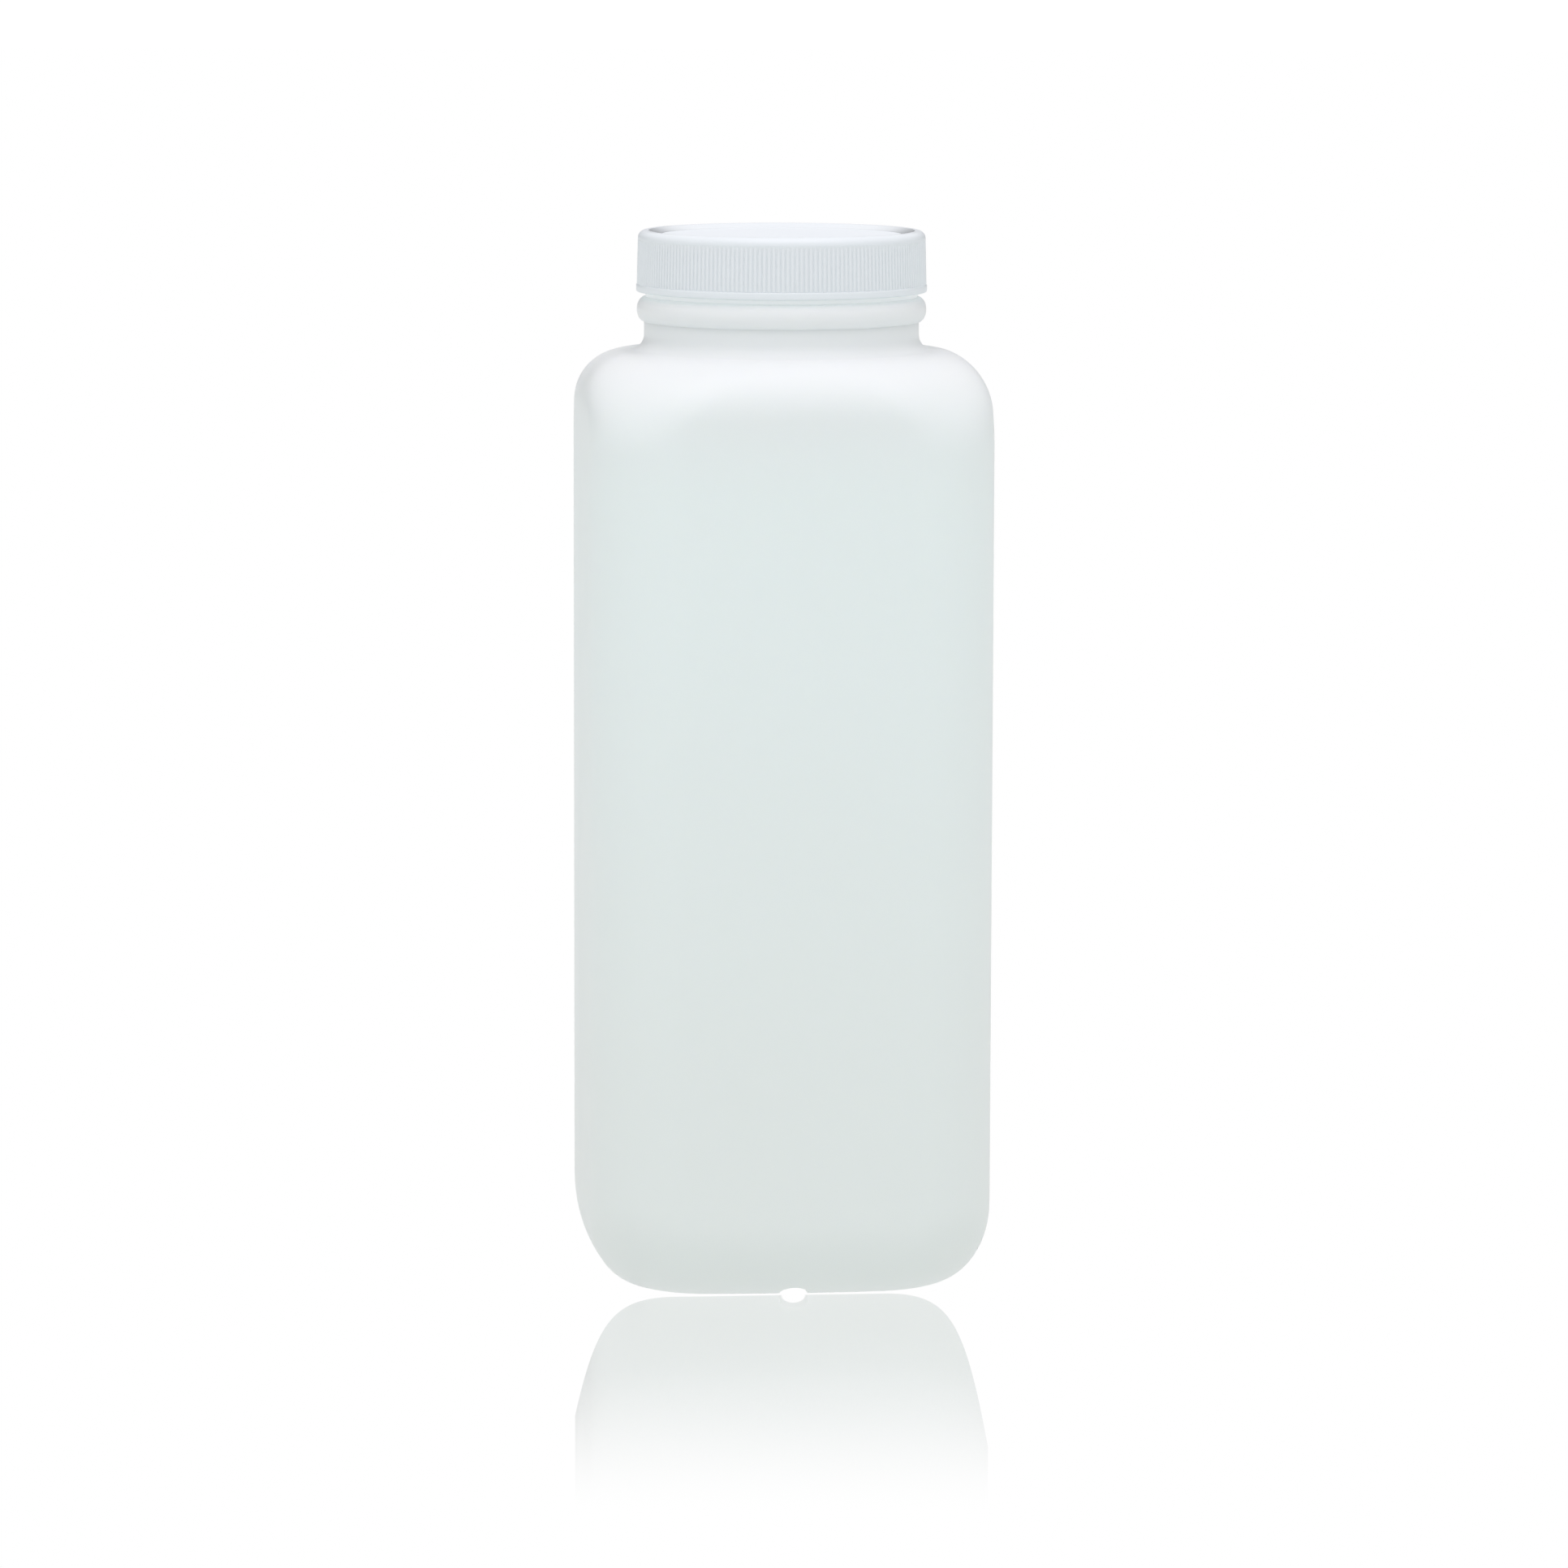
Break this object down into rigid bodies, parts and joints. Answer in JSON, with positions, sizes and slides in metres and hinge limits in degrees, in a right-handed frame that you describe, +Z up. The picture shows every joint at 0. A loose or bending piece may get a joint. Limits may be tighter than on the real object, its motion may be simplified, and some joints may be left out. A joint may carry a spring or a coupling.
{
  "type": "square wide-mouth plastic reagent bottle",
  "caption": "Square-section translucent plastic bottle with a wide round neck and a ribbed screw cap over a foam sealing disc.",
  "frame": {"origin": "middle of the base, on the plane that the bottle stands on", "axes": "+Z up along the neck's axis; the four side walls face along X and Y; the mould's parting plane is X = 0"},
  "size_m": [0.079, 0.079, 0.2016],
  "materials": {
    "natural_hdpe": "natural high-density polyethylene, milky and translucent, satin skin from the mould",
    "white_pp": "white polypropylene, semi-gloss, moulded",
    "pe_foam": "white closed-cell polyethylene foam",
    "facing_film": "smooth thin film over the foam"
  },
  "bodies": {
    "bottle": {"bottle": "natural_hdpe"},
    "seal": {"liner_foam": "pe_foam", "liner_facing": "facing_film"},
    "cap": {"cap": "white_pp"}
  },
  "joints": [
    {"name": "cap_lift", "type": "slide", "parent": "bottle", "child": "seal", "axis": [0, 0, 1], "range_m": [0, 0.0128]},
    {"name": "cap_turn", "type": "hinge", "parent": "seal", "child": "cap", "pos_m": [0, 0, 0.1984], "axis": [0, 0, 1], "range_deg": [0, 1080]}
  ],
  "couplings": [
    {"joint": "cap_lift", "follows": "cap_turn", "m_per_rad": 0.00067375}
  ]
}
